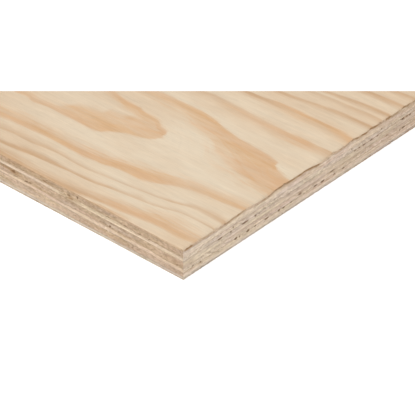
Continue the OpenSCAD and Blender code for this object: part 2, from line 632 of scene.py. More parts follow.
# Round the sheet: front edge, right-hand end, rear edge, left-hand end.
edgeLines = [xLines, yLines, xLines[::-1], yLines[::-1]]
edgeParts = [edgeCounts(lines, edge < 2) for edge, lines in enumerate(edgeLines)]
edgeRuns = [splitLines(lines, parts) for lines, parts in zip(edgeLines, edgeParts)]
edgeSizes = [len(run) for run in edgeRuns]
edgeStarts = np.cumsum([0] + edgeSizes[:-1])
roundCount = sum(edgeSizes)
edgeOf = np.repeat(np.arange(4), edgeSizes)
rightX, leftX = (np.full(edgeSizes[edge], place) for edge, place in ((1, halfLength), (3, -halfLength)))
frontY, rearY = (np.full(edgeSizes[edge], place) for edge, place in ((0, -halfWidth), (2, halfWidth)))
roundX = np.concatenate([edgeRuns[0], rightX, edgeRuns[2], leftX])
roundY = np.concatenate([frontY, edgeRuns[1], rearY, edgeRuns[3]])
outX = np.array([0, 1, 0, -1])[edgeOf]
outY = np.array([-1, 0, 1, 0])[edgeOf]
isLongEdge = edgeOf % 2 == 0
backFromEnd = (halfLength - roundX) / mm
inFromFront = (roundY + halfWidth) / mm
alongEdge = np.where(isLongEdge, backFromEnd, inFromFront)
edgeLength = np.where(isLongEdge, 2 * halfLength, 2 * halfWidth) / mm
fromCorner = np.minimum(alongEdge, edgeLength - alongEdge)
stationGap = np.hypot(np.roll(roundX, -1) - roundX, np.roll(roundY, -1) - roundY) / mm
resolved = np.clip(meshSteps["fullRelief"] / stationGap, 0, 1)
print("outline has", roundCount, "stations")


# Plies: how their joints wander, and the relief of their sawn edges

# Joints between plies, from the lowest up, in mm off their even levels, at mm along an edge from the near
# corner.
layUp = dict(
    front=[
        (0, 0, -1.0, -1.2, -0.2, -0.4, 0),
        (14, 0, -1.0, -1.1, -0.1, -0.3, 0),
        (22, 0, -0.1, -0.2, 0.2, 0, 0),
        (60, 0, 0.1, 0.3, 0.5, 0.5, 0),
        (80, 0.1, 0.7, 0.4, 1.1, 0.8, 0),
        (100, 0.2, 1.6, 0.9, 1.8, 1.4, 0),
        (130, 0.2, 1.7, 1.0, 1.5, 1.3, 0),
    ],
    end=[
        (0, 0, -1.0, -1.2, -0.2, -0.4, 0),
        (15, 0, -0.8, -0.6, -0.3, -0.2, 0),
        (40, 0, -0.8, -0.3, -0.4, -0.1, 0),
        (100, 0, -0.7, -0.3, -0.5, -0.1, 0),
        (135, 0, -0.6, -0.2, -0.4, 0, 0),
        (170, 0, -0.3, 0.2, 0, 0.1, 0),
    ],
    fadeSpan=(420, 900),       # mm along, over which these offsets die out
    wander=[0.15, 0.35, 0.35, 0.35, 0.35, 0.15],    # mm of free wander further on
    wanderSpan=(150, 400),     # mm along, over which that comes in
    wanderLength=130,          # mm from one bend to the next
    wanderShift=(17.3, 3.5),   # steps in its noise from edge to edge, and from joint to joint
    wanderSeed=5,
    calmLength=60,             # mm beside each corner of the sheet
)

sawnEdge = dict(
    grooveDepth=0.16,                # mm, along the joint between two plies
    grooveWidth=0.3,
    endGrainDepth=0.14,              # mm of torn fibres where the grain ends
    endGrainSize=(0.8, 0.5),         # mm along and up
    endGrainSeed=21,
    longGrainDepth=0.05,
    longGrainSize=(7, 0.5),
    longGrainSeed=23,
    grainShift=40,                   # steps in the noise of both, from ply to ply
    checkDepth=0.35,                 # mm, slanted cracks that the peeling knife leaves
    checkGap=1.5,
    checkHeight=3,
    checkSlant=0.9,                  # mm along for each mm up
    checkShift=9,
    checkSpan=(0.5, 0.9),            # the part of the noise where a crack opens
    checkSeed=22,
    calmSpan=(0.2, 2.0),             # mm from the sheet's corners, over which all this comes in
    rowHeight=0.25,                  # mm between rows of the mesh
    fewestRows=6,
    rimRow=0.35,                     # share of a row, beside each joint
    arrisDrop=0.45,                  # mm that the rounded arris has worn down
    rimInsets=[0.25, 0.8, 1.8],      # mm in from the edge, where the broad side begins
    rimFalls=[0.45, 0.1, 0.0],       # share of the drop that is left there
    rimRelief=0.5,                   # share of the edge's relief that goes on there
    lidInset=14.0,                   # mm over which an inner ply levels out
    voidDepth=0.45,                  # mm, for a void of share 1
    voidSag=0.3,                     # mm that a void lies lower than it looks from above
    voidRim=(0.6, 1.25),             # where its floor ends and its rim stops, in its own half sizes
    stainRim=(0.2, 1.3),             # the same for a stain
)

# Voids and torn spots: mm along the edge from the near corner, height, half length, half height, and the
# share of the full depth.
frontVoids = [
    (2.5, 7.6, 2, 0.4, 0.3), (0.9, 7.6, 0.7, 0.5, 0.6), (4.2, 7, 0.6, 0.6, 0.6), (14.5, 7, 0.8, 0.3, 0.5),
    (20.6, 8, 0.6, 0.5, 0.4), (22.2, 13.3, 1, 0.3, 0.6), (28.5, 13.35, 1.4, 0.3, 0.6),
    (37.5, 13.9, 1.6, 0.35, 0.6), (41, 8, 2, 0.35, 0.4), (47.2, 10.8, 0.9, 0.35, 0.7),
    (48.3, 8.6, 0.4, 0.9, 0.9), (49.3, 13.8, 1.6, 0.3, 0.6), (50.5, 5.3, 0.8, 0.3, 0.5),
    (68.8, 2.5, 0.6, 0.4, 0.5), (69.8, 15.6, 0.4, 0.9, 0.8), (71.6, 8.3, 0.9, 0.3, 0.6),
    (72, 17.3, 1, 0.3, 0.4), (75.8, 14.4, 1.6, 0.35, 0.8), (78.5, 13.9, 0.8, 0.3, 0.5),
    (83, 2.7, 1.2, 0.35, 0.4), (92.5, 15.1, 1.8, 0.45, 0.6), (102.8, 9.5, 0.9, 0.4, 0.8),
    (105.6, 9.2, 1.1, 0.45, 0.9), (106.6, 11.7, 0.5, 0.3, 0.5), (107.6, 6.3, 0.7, 0.35, 0.6),
    (112, 14.6, 0.7, 0.35, 0.5), (114.5, 11.2, 1.8, 0.8, 0.6), (118, 11.2, 0.5, 0.7, 0.4),
    (5.8, 16.3, 0.9, 0.3, 0.4), (14.6, 16.2, 0.8, 0.3, 0.4), (24.2, 8.3, 0.7, 0.3, 0.5),
    (31, 16.6, 0.8, 0.3, 0.4), (36, 10.4, 0.9, 0.25, 0.5), (40.8, 10.2, 0.7, 0.3, 0.5),
    (54.5, 9, 0.8, 0.3, 0.5), (57, 7.5, 0.8, 0.3, 0.4), (73.4, 13, 0.7, 0.25, 0.5),
    (77.4, 12.6, 0.9, 0.25, 0.5), (90.2, 17, 0.8, 0.25, 0.4), (91, 16.4, 0.8, 0.25, 0.5),
    (94.8, 14.4, 0.7, 0.25, 0.5), (95.3, 16.3, 0.7, 0.25, 0.5), (99.7, 11.2, 0.9, 0.5, 0.4),
    (121.8, 11, 0.9, 0.5, 0.4),
]
endVoids = [
    (26.5, 10.25, 1.8, 0.5, 1.0), (34.4, 10.2, 0.7, 0.5, 0.9), (36.1, 11.9, 0.5, 0.7, 0.8),
    (44.8, 10.3, 2.4, 0.55, 1.2), (52.6, 10.2, 0.9, 0.5, 1.0), (55.4, 10.2, 0.7, 0.35, 0.7),
    (66.8, 12.6, 0.9, 0.3, 0.6), (78.0, 10.2, 1.0, 0.25, 0.5), (85.0, 10.0, 1.4, 0.25, 0.5),
    (127.0, 12.4, 0.7, 0.4, 0.8), (129.8, 10.3, 1.2, 0.3, 0.8), (133.3, 10.35, 0.9, 0.4, 0.9),
    (137.0, 10.4, 1.3, 0.4, 0.9), (143.0, 10.4, 1.2, 0.35, 0.9), (148.0, 10.4, 1.1, 0.4, 1.0),
    (151.4, 13.0, 0.8, 0.35, 0.8), (167.0, 11.3, 0.4, 0.4, 0.7), (169.0, 10.7, 1.1, 0.6, 1.3),
    (172.5, 10.6, 0.6, 0.5, 1.1), (175.0, 10.4, 0.9, 0.5, 1.2),
    (7, 4.9, 0.9, 0.4, 0.8), (12.5, 4.1, 0.8, 0.4, 0.8), (38, 4.3, 1.1, 0.65, 1.3), (40.8, 3.9, 0.5, 0.5, 1),
    (47, 4.1, 1.2, 0.65, 1.3), (52.4, 4.2, 0.9, 0.45, 0.9), (61, 4.2, 1.6, 0.55, 1.2),
    (65, 4.3, 0.5, 0.3, 0.6), (70.3, 4.2, 0.6, 0.75, 1.5), (73.8, 4, 1, 0.45, 1),
    (79.8, 4.3, 0.8, 0.4, 0.9), (86.4, 5.7, 1.5, 0.7, 0.8), (89.5, 4.2, 0.6, 0.4, 0.7),
    (98.5, 4.6, 1.5, 0.5, 1), (104, 4.5, 1.5, 0.55, 1.4),
    (111.8, 6.9, 1.9, 0.5, 1.0), (113.3, 4.1, 1.0, 0.4, 0.8), (120.6, 4.2, 1.1, 0.45, 1.0),
    (129.0, 6.6, 0.8, 0.3, 0.6), (136.0, 6.5, 0.8, 0.3, 0.7), (156.0, 6.8, 1.2, 0.4, 0.6),
    (160.6, 4.4, 0.6, 0.35, 0.7), (166.9, 4.8, 0.5, 0.45, 1.2), (169.9, 5.1, 1.4, 0.45, 1.0),
]
# A thin crack that slants down across the lower plies of the right-hand end: a row of small voids.
endCrack = dict(start=18, run=7, top=6.4, fall=3, spot=(0.9, 0.3, 0.5), count=7)
for part in np.linspace(0, 1, endCrack["count"]):
    place = endCrack["start"] + endCrack["run"] * part
    endVoids.append((place, endCrack["top"] - endCrack["fall"] * part, *endCrack["spot"]))

# Stains in mm: along the edge, height, half length, half height, amount; a pale chip has an amount below 0.
# The spots at a height of 0.1 mm are painted shade along the bottom edge, where the sheet meets the floor.
frontStainsAndShade = [
    (114, 11, 4, 1.6, 0.55), (104, 15.6, 30, 1.2, 0.2), (75, 12.9, 8, 1.2, 0.7), (60, 16, 5, 1.5, 0.2),
    (91, 15.2, 4, 1, 0.35), (104, 6.3, 7, 0.4, 0.3), (4, 8.4, 8, 1.7, 0.35), (30, 8, 8, 0.6, 0.1),
    (120, 4.3, 8, 0.5, 0.5), (104, 3.6, 10, 0.5, 0.25), (118, 11.4, 10, 0.9, 0.6), (52, 17.5, 18, 0.6, 0.5),
    (110, 14.2, 32, 1.2, 0.2), (110, 3.3, 50, 2.4, -0.2), (91, 0.1, 46, 0.7, 0.75), (4, 0.1, 14, 0.6, 0.5),
    (104, 17.3, 42, 0.8, 0.6), (33, 12.7, 14, 0.7, 0.3), (111, 10.2, 10, 0.9, 0.35), (38, 7, 5, 0.8, 0.4),
    (99, 5.6, 5, 0.5, 0.4), (52, 3.9, 18, 1, 0.3), (95, 8.2, 12, 1.6, 0.2), (8, 15, 6, 0.8, 0.2),
    (116, 16, 6, 1.2, 0.35), (49.3, 5.4, 0.6, 0.9, -0.8), (50.8, 6.6, 0.5, 0.8, -0.8),
    (42, 9.4, 12, 0.9, -0.35), (77, 8.7, 8, 0.9, -0.25), (18, 2.5, 9, 0.7, -0.3), (104, 2.3, 28, 0.6, -0.2),
    (86, 1.5, 20, 0.5, -0.35), (101, 12.6, 16, 0.5, -0.35), (84, 6.1, 34, 0.8, -0.25),
]
endStainsAndShade = [
    (86, 5.8, 4, 1.2, 0.3), (171, 10.6, 5, 1, 0.35), (176, 1, 5, 1.2, 0.5), (169, 5, 4, 0.8, 0.3),
    (146, 17, 6, 0.8, 0.3), (30, 12.9, 34, 0.3, 0.3), (89, 12.9, 9, 0.3, 0.3), (190, 9, 85, 20, 0.2),
    (90, 0.1, 140, 0.6, 0.28), (155, 14.8, 50, 2.2, 0.2), (165, 3, 40, 2.5, 0.15), (108, 6.6, 130, 0.7, 0.3),
    (84, 15.7, 22, 1.1, 0.45), (104, 14, 22, 1, 0.4), (104, 3.4, 22, 0.7, 0.5), (105, 9, 60, 1, 0.2),
    (3, 7.9, 7, 1.4, 0.35), (48, 12.4, 30, 0.5, 0.25), (8, 3.6, 12, 0.5, 0.4), (65, 5.6, 18, 0.5, 0.3),
    (140, 0.1, 60, 0.6, 0.35), (80, 1.7, 220, 0.9, -0.5), (34, 1.5, 56, 0.6, -0.35),
    (142, 11.6, 26, 0.5, -0.4), (90, 11, 10, 0.9, -0.35), (12, 10.6, 14, 0.6, -0.35),
    (18, 5.6, 14, 1.2, -0.3),
]

# The face's torn end: mm along the right-hand end, share torn out, and height of the torn line.
tornEnd = dict(
    points=[
        (0, 0.9, 16.6), (6, 0.9, 16.7), (8.5, 0.2, 16.8), (13, 0.2, 16.8), (15.5, 0.5, 16.6), (19, 0.4, 16.6),
        (22, 0.25, 16.6), (29, 0.2, 16.6), (30.5, 0.85, 16.5), (33, 0.85, 16.6), (35, 0.75, 16.9),
        (41, 0.6, 17.2), (43, 0.4, 17.3), (47, 0.2, 17.1), (51, 0.1, 16.7), (55, 0.2, 16.4), (57, 0.4, 16.3),
        (60, 0.6, 16.2), (63, 0.5, 16.5), (67, 0.6, 17.3), (72, 0.8, 17.4), (79, 0.9, 17.1), (87, 0.9, 17.1),
        (89, 1, 17.5), (92, 1, 17.2), (96, 1, 16.7), (100, 1, 16.1), (101.5, 0.1, 16.3), (109, 0.1, 16.6),
        (111, 0.25, 17.1), (113, 0.25, 17), (115, 0.3, 16.6), (121, 0.35, 16.6), (123, 0.1, 16.8),
        (126, 0.15, 17.3), (127.5, 0.9, 17.4), (131, 0.9, 17), (133, 0.25, 16.8), (136, 1, 16.7),
        (138.5, 1, 16.5), (140, 0.15, 16.8), (142, 0.8, 17.4), (146, 0.8, 16.8), (148, 0.15, 16.8),
        (153, 0.2, 16.9), (155, 0.9, 16.9), (158, 0.9, 16.7), (160, 0.2, 16.7), (167, 0.15, 17),
        (169, 0.8, 17.5), (173, 0.7, 16.9), (175, 0.3, 16.8), (178, 0.6, 16.8), (200, 0.5, 16.8),
    ],
    # Each noise along the edge: its length in mm, row and seed.
    freeSpan=(185, 260),     # mm along, over which it goes on at random
    freeShare=0.6,
    freeNoise=(17, 11.5, 26),
    freeRange=(-0.2, 0.7),   # the part of that noise where a tear begins, and where it is full
    freeHeight=16.8,
    freeWander=0.3,
    wanderNoise=(40, 5.5, 27),
    calmLength=2,            # mm beside each corner of the sheet
    jags=[(0.6, (1.1, 3.5, 24)), (0.4, (4.5, 7.5, 25))],    # amount and noise of each
    jagShare=0.4,            # how much they change the share torn
    foot=(0.0, 0.3),         # shares of the face's thickness, over which a tear comes in and ends
    head=(0.9, 1.0),
    toJoint=0.85,            # mm from the torn line down to the joint below it
    toArris=0.55,            # and up to the arris
    dropRange=(0.1, 1.6),    # mm that the arris may lie below the face
    depth=0.22,              # mm, at a share of 1
    # The next two darken the torn line: partly stained, dark end grain, partly painted shade of the gap under
    # the arris.
    voidDirtAndShade=0.35,             # how void it looks, and how stained
    stainAndShade=1.1,
)


def alongNoise(length, row, seed):
    # One row of the noise, read along the edges.
    return hashNoise(alongEdge / length, row, seed)


def tearFace():
    # Share torn and height of the torn line at each station: as read near the corner, at random further on
    # and on the other end, and still at the corners.
    share, height = smoothLines(tornEnd["points"], alongEdge)
    far = np.where(edgeOf == 1, ease(*tornEnd["freeSpan"], alongEdge), 1)
    chance = ease(*tornEnd["freeRange"], alongNoise(*tornEnd["freeNoise"]))
    wave = tornEnd["freeHeight"] + tornEnd["freeWander"] * alongNoise(*tornEnd["wanderNoise"])
    calm = ease(0, tornEnd["calmLength"], fromCorner) * ~isLongEdge
    share = (share * (1 - far) + tornEnd["freeShare"] * chance * far) * calm
    return share, height * (1 - far) + wave * far, calm


def jointHeights(tornHeight, calm):
    # Height of each joint round the sheet: its even level, the offsets read near the corner, which die out
    # further on, and a free wander that is still at the corners and where the offsets were read. Under the
    # torn ends the last joint follows the torn line. The top row is the arris.
    isRead = edgeOf < 2
    read = np.where(edgeOf == 0, smoothLines(layUp["front"], alongEdge), smoothLines(layUp["end"], alongEdge))
    read = read * (1 - ease(*layUp["fadeSpan"], alongEdge)) * isRead
    still = ease(0, layUp["calmLength"], fromCorner)
    still = still * np.where(isRead, ease(*layUp["wanderSpan"], alongEdge), 1)
    wander = np.array(layUp["wander"])[:, None]
    count = np.arange(len(wander))[:, None]
    edgeShift, jointShift = layUp["wanderShift"]
    bends = alongEdge / layUp["wanderLength"] + edgeShift * edgeOf
    free = hashNoise(bends, jointShift * count, layUp["wanderSeed"])
    inner = plyLevels[1:-1, None] + (read + wander * free * still) * mm
    follow = tornHeight * mm - tornEnd["toJoint"] * mm
    inner[-1] += (follow - inner[-1]) * calm
    tornDrop = np.clip(sheetTop / mm - tornHeight - tornEnd["toArris"], *tornEnd["dropRange"])
    drop = sawnEdge["arrisDrop"] + (tornDrop - sawnEdge["arrisDrop"]) * calm
    return np.vstack([np.full(roundCount, plyLevels[0]), inner, sheetTop - drop * mm])


def edgeSpots(height, front, end, rim, gather):
    # Ellipses with a soft rim on the front edge and on the right-hand end, gathered where they overlap.
    shares = []
    for spots in (front, end):
        share = np.zeros_like(height)
        for place, level, halfLong, halfHigh, amount in spots:
            reach = np.hypot((alongEdge - place) / halfLong, (height - level) / halfHigh)
            share = gather(share, amount * (1 - ease(*rim, reach)))
        shares.append(share)
    return np.where(edgeOf == 0, shares[0], np.where(edgeOf == 1, shares[1], 0))


def edgeRelief(ply, height, toJoint):
    # Depth below the sawn plane, in mm, and how void it is from 0 to 1: a groove at each joint, torn fibres
    # and slanted knife checks where the grain ends, and the deepest of the voids. All fades at the sheet's
    # four corners.
    isEndGrain = isLongEdge == (ply % 2 == 1)
    values = sawnEdge

    def fibres(kind):
        # Depth times a noise of its own size, which shifts from ply to ply.
        length, tall = values[kind + "Size"]
        up = height / tall + values["grainShift"] * ply
        return values[kind + "Depth"] * shareNoise(alongEdge / length, up, values[kind + "Seed"])

    groove = values["grooveDepth"] * (1 - ease(0, values["grooveWidth"], toJoint))
    slanted = (alongEdge + values["checkSlant"] * height) / values["checkGap"]
    up = height / values["checkHeight"] + values["checkShift"] * ply
    checks = values["checkDepth"] * ease(*values["checkSpan"], hashNoise(slanted, up, values["checkSeed"]))
    rough = np.where(isEndGrain, fibres("endGrain") + checks, fibres("longGrain"))
    deep = edgeSpots(height + values["voidSag"], frontVoids, endVoids, values["voidRim"], np.maximum)
    calm = ease(*values["calmSpan"], fromCorner) * resolved
    return groove + (rough + values["voidDepth"] * deep) * calm, np.clip(deep, 0, 1) * calm


def tearRelief(relief, isVoid, stainAndShade, up, tornShare):
    # The face's end grain, torn back and stained between the joint and the arris, with a ragged edge. Its
    # dark line is partly stained end grain and partly painted shade of the torn gap.
    jag = sum(amount * alongNoise(*noise) for amount, noise in tornEnd["jags"])
    torn = np.clip(tornShare * (1 + tornEnd["jagShare"] * jag), 0, 1)
    torn = torn * (ease(*tornEnd["foot"], up) * (1 - ease(*tornEnd["head"], up)))[:, None]
    relief = relief + tornEnd["depth"] * torn * resolved
    return relief, np.maximum(isVoid, tornEnd["voidDirtAndShade"] * torn), stainAndShade + tornEnd["stainAndShade"] * torn


# Meshes of the plies

def ringAt(inset, relief, height):
    # The outline drawn in evenly by inset, then pushed in by the relief at right angles to its own edge.
    x = roundX * (1 - inset * mm / halfLength) - outX * relief * mm
    y = roundY * (1 - inset * mm / halfWidth) - outY * relief * mm
    return np.stack([x, y, height + 0 * x], 1)


def wallQuads(rows):
    # Faces between each row of stations and the next, round the sheet.
    station = np.arange(roundCount)
    after = np.roll(station, -1)
    base = np.arange(rows - 1)[:, None] * roundCount
    corners = [base + station, base + after, base + after + roundCount, base + station + roundCount]
    return np.stack(corners, 2).reshape(-1, 4)


def capCells(rimStart, gridStart, upward):
    # Faces of a broad side: whole cells of the grid, and round them cells that also take up every station
    # of the rim that lies beside them.
    columns = len(xLines) - 2
    rows = len(yLines) - 2
    spot = gridStart + np.arange(columns * rows).reshape(rows, columns)
    cells = np.stack([spot[:-1, :-1], spot[:-1, 1:], spot[1:, 1:], spot[1:, :-1]], 2).reshape(-1, 4)
    faces = cells.tolist()
    sides = [spot[0], spot[:, -1], spot[-1, ::-1], spot[::-1, 0]]
    for edge, side in enumerate(sides):
        parts = edgeParts[edge]
        starts = rimStart + edgeStarts[edge] + np.cumsum(parts) - parts
        for count in np.unique(parts[1:-1]):
            which = 1 + np.flatnonzero(parts[1:-1] == count)
            outer = starts[which][:, None] + np.arange(count + 1)
            faces += np.hstack([outer, side[which][:, None], side[which - 1][:, None]]).tolist()
        lastRun = np.arange(starts[-1], starts[-1] + parts[-1])
        nextStart = rimStart + edgeStarts[(edge + 1) % 4]
        nextRun = np.arange(nextStart, nextStart + edgeParts[(edge + 1) % 4][0] + 1)
        faces.append([*lastRun.tolist(), *nextRun.tolist(), int(side[-1])])
    return faces if upward else [face[::-1] for face in faces]


def addValue(mesh, name, values):
    # One number at each vertex, for the material to read.
    layer = mesh.attributes.new(name, "FLOAT", "POINT")
    layer.data.foreach_set("value", values.astype(np.float32))


def makePly(index, joints, tornShare):
    # A closed slab: rows of the wall from the lower joint to the upper one, then a broad side or a plain
    # lid at each end.
    node = plyNodes[index]
    low = joints[index]
    high = joints[index + 1]
    thick = (plyLevels[index + 1] - plyLevels[index]) / mm
    isBack = index == 0
    isFace = index == len(plyNodes) - 1
    rowCount = max(sawnEdge["fewestRows"], round(thick / sawnEdge["rowHeight"])) + 1
    rimRow = sawnEdge["rimRow"] / rowCount
    up = np.insert(np.linspace(0, 1, rowCount), [1, rowCount - 1], [rimRow, 1 - rimRow])
    rows = len(up)
    height = low * (1 - up[:, None]) + high * up[:, None]
    toJoint = np.minimum(height - low, high - height) / mm
    if isFace:
        toJoint = (height - low) / mm
    if isBack:
        toJoint = (high - height) / mm
    relief, isVoid = edgeRelief(index, height / mm, toJoint)
    # Stains, with painted shade along the bottom edge where the sheet meets the floor.
    stainAndShade = edgeSpots(height / mm, frontStainsAndShade, endStainsAndShade, sawnEdge["stainRim"], np.add)
    if isFace:
        relief, isVoid, stainAndShade = tearRelief(relief, isVoid, stainAndShade, up, tornShare)
    rings = [ringAt(0, relief[i], height[i]) for i in range(rows)]
    if isFace:
        for inset, fall in zip(sawnEdge["rimInsets"], sawnEdge["rimFalls"]):
            rimRelief = sawnEdge["rimRelief"] * fall * relief[-1]
            rings.append(ringAt(inset, rimRelief, sheetTop - fall * (sheetTop - high)))
    else:
        rings.append(ringAt(sawnEdge["lidInset"], 0, plyLevels[index + 1]))
    if isBack:
        for inset in sawnEdge["rimInsets"]:
            rings.insert(0, ringAt(inset, 0, plyLevels[0]))
    else:
        rings.insert(0, ringAt(sawnEdge["lidInset"], 0, plyLevels[index]))
    before = len(sawnEdge["rimInsets"]) if isBack else 1
    vertices = np.concatenate(rings)
    faces = wallQuads(len(rings)).tolist()
    wallFaces = len(faces)
    lastRing = (len(rings) - 1) * roundCount
    bottomLid = list(range(roundCount))[::-1]
    topLid = list(range(lastRing, lastRing + roundCount))
    faces += capCells(0, len(vertices), False) if isBack else [bottomLid]
    faces += capCells(lastRing, len(vertices), True) if isFace else [topLid]
    if isFace or isBack:
        gridX, gridY = np.meshgrid(xLines[1:-1], yLines[1:-1])
        level = np.full(gridX.size, sheetTop if isFace else plyLevels[0])
        vertices = np.concatenate([vertices, np.stack([gridX.ravel(), gridY.ravel(), level], 1)])
    mesh = bpy.data.meshes.new(node + "_ply")
    mesh.from_pydata(vertices, [], faces)
    # The void and stain values carry painted shade as well as dirt and stains: in the voids, in the torn line
    # and along the bottom edge.
    edgeValues = dict(across=up[:, None] + 0 * height, voidDirtAndShade=isVoid, stainAndShade=stainAndShade)
    for name, values in edgeValues.items():
        spread = np.zeros(len(vertices))
        spread[before * roundCount:(before + rows) * roundCount] = values.ravel()
        addValue(mesh, name, spread)
    if isFace or isBack:
        for name, values in veneerFigure(vertices[:, 0], vertices[:, 1], isFace).items():
            addValue(mesh, name, values)
    return mesh, wallFaces, before, rows


# Materials

faceWood = dict(
    early=(229, 211, 185),
    earlyWarm=(222, 197, 167),
    late=(216, 174, 129),
    lateRose=(217, 178, 141),
    lateGrey=(204, 168, 131),
    growth=0.018,       # how much lighter or darker: lines of growth along the rings
    streak=0.06,        # and streaks and fibres along the grain
    fibre=0.04,
    fleck=0.06,
    paleStreak=(0.3, 0.6),    # wood bleached more than this has streaks down to this share
    growthStray=0.06,   # rings that a line of growth moves a band
    growthDepth=0.12,   # and how much stronger it makes it
    swell=(0.26, 0.2),  # parts of a ring before and after a band's start, over which the wood darkens
    roughness=(0.68, 0.55),   # of pale wood and latewood
    bump=0.05 * mm,
    bumpLate=0.5,       # how far latewood stands up, in depths of the fibres
    specular=0.25,
    seed=3,
)

backWood = dict(faceWood, early=(226, 203, 171), late=(208, 171, 128), lateGrey=(194, 153, 108), seed=31)

veneerGrain = dict(
    growth=look((10, 24, 1), 1, 3.0, 0.6, (0.28, 0.72), (-1.0, 1.0), False),    # its second wave is per ring
    ragged=look((55, 380, 1), 0, 4.0, 0.6, (0.25, 0.75), (-0.08, 0.08), False),
    uneven=look((22, 170, 1), 2, 5.0, 0.65, tone=(0.7, 1.18)),
    blotch=look((14, 60, 1), 3, 4.0, 0.6, tone=(-0.4, 0.4)),
    rosy=look((18, 75, 1), 7, 3.0, span=(0.36, 0.64), tone=(0.0, 0.7)),
    streaks=look((70, 330, 1), 6, 4.0, 0.65, (0.25, 0.75), (-1.0, 1.0), False),
    fibres=look((22, 1500, 1), 4, 3.0, 0.6, (0.25, 0.75)),
    flecks=look((150, 2600, 1), 5, 1.0, span=(0.64, 0.74)),
)


def veneerFace(name, wood):
    # Broad side of a peeled veneer. Within each ring the wood darkens line by line, then turns pale at once.
    # Lines of growth follow the rings, and streaks and fibres follow the grain.
    material, tree = startMaterial(name)
    coords = addNode(tree, "ShaderNodeTexCoord").outputs["Object"]

    def woodTone(name):
        # One noise of the veneer, as its tone.
        return grainTone(tree, coords, veneerGrain[name], wood["seed"])

    start = readValue(tree, "pale")
    bleach = readValue(tree, "bleach")
    rings = readValue(tree, "rings")
    alongGrain = addNode(tree, "ShaderNodeSeparateXYZ", {"Vector": coords}).outputs["X"]
    unrolled = addNode(tree, "ShaderNodeCombineXYZ", {"X": alongGrain, "Y": rings}).outputs[0]
    growth = grainTone(tree, unrolled, veneerGrain["growth"], wood["seed"])
    stray = calc(tree, "MULTIPLY_ADD", growth, wood["growthStray"], woodTone("ragged"))
    part = calc(tree, "FRACT", calc(tree, "ADD", rings, stray))
    before, after = wood["swell"]
    swell = remap(tree, part, calc(tree, "SUBTRACT", start, before), calc(tree, "ADD", start, after))
    starts = (ringParts["band"], ringParts["lateBand"])
    fades = (ringParts["fade"], ringParts["lateFade"])
    stop = remap(tree, part, remap(tree, start, *starts, *fades), 1.0, 1.0, 0.0)
    stronger = calc(tree, "MULTIPLY_ADD", growth, wood["growthDepth"], 1.0)
    uneven = product(tree, woodTone("uneven"), stronger)
    late = product(tree, swell, stop, readValue(tree, "strength"), uneven)
    paler = calc(tree, "ADD", bleach, woodTone("blotch"))
    pale = mixColour(tree, paler, linear(wood["earlyWarm"]), linear(wood["early"]))
    dark = mixColour(tree, woodTone("rosy"), linear(wood["late"]), linear(wood["lateRose"]))
    dark = mixColour(tree, readValue(tree, "grey"), dark, linear(wood["lateGrey"]))
    colour = mixColour(tree, late, pale, dark)
    bleached, share = wood["paleStreak"]
    streakDepth = remap(tree, bleach, bleached, 1.0, wood["streak"], share * wood["streak"])
    streakTone = calc(tree, "MULTIPLY_ADD", woodTone("streaks"), streakDepth, 1.0)
    streakTone = calc(tree, "MULTIPLY_ADD", growth, wood["growth"], streakTone)
    fibres = grain(tree, coords, veneerGrain["fibres"], wood["seed"])
    fibreTones = (1 - wood["fibre"], 1 + wood["fibre"])
    fibreTone = remap(tree, fibres, *veneerGrain["fibres"]["span"], *fibreTones, False)
    fleckTone = remap(tree, woodTone("flecks"), 0.0, 1.0, 1.0, 1 - wood["fleck"], False)
    tone = product(tree, fibreTone, fleckTone, streakTone)
    colour = mixColour(tree, 1.0, colour, tone, "MULTIPLY")
    height = calc(tree, "MULTIPLY_ADD", late, wood["bumpLate"], fibres)
    roughness = remap(tree, late, 0.0, 1.0, *wood["roughness"], False)
    endMaterial(tree, colour, roughness, height, wood["bump"], wood["specular"])
    return material


# Sawn edges: the colour where the grain runs along the edge or ends in it, as seen on the front edge and
# on the right-hand end.
edgeWood = dict(
    back_veneer=dict(front=(203, 189, 172), end=(200, 186, 170)),
    lower_crossband=dict(front=(191, 167, 141), end=(222, 203, 181)),
    lower_core_veneer=dict(front=(214, 191, 166), end=(217, 197, 177)),
    middle_crossband=dict(front=(188, 163, 137), end=(212, 194, 173)),
    upper_core_veneer=dict(front=(218, 198, 172), end=(211, 193, 173)),
    upper_crossband=dict(front=(188, 163, 136), end=(223, 204, 184)),
    face_veneer=dict(front=(199, 172, 142), end=(205, 182, 157)),
)
edgeFinish = dict(
    sideLight=0.9,          # how much less light an upright edge gets than the face
    # Inside a void: partly dirt and glue, partly painted shade of the hollow.
    voidDirtAndShadeColour=(122, 90, 60),
    voidShare=0.8,
    voidSpan=(0.15, 0.8),   # how void the edge is where that colour begins, and where it is full
    # Colour of the stains, and of the painted shade along the bottom edge and in the face's torn line.
    stainAndShadeColour=(164, 130, 95),
    chipColour=(236, 219, 196),
    glueColour=(150, 128, 106),
    glueShare=0.75,
    glueWidth=0.07,         # share of the ply's thickness
    softWidth=0.28,         # share of a long-grain ply's thickness that darkens towards its joints
    softShade=0.9,
    endShades=(0.86, 1.12),     # how dark and how light the wood's own colour turns
    longShades=(0.92, 1.07),
    endBump=0.25 * mm,
    longBump=0.12 * mm,
    checkSlant=38.0,        # degrees
    warmTint=(1.0, 1.0, 0.955, 1.0),
    coolTint=(1.0, 0.98, 1.02, 1.0),
    warmPowers=(1.15, 1.3),
    roughness=0.78,
    specular=0.15,
    frontSeed=60,
    endSeed=130,
    seedStep=7,             # from ply to ply
)

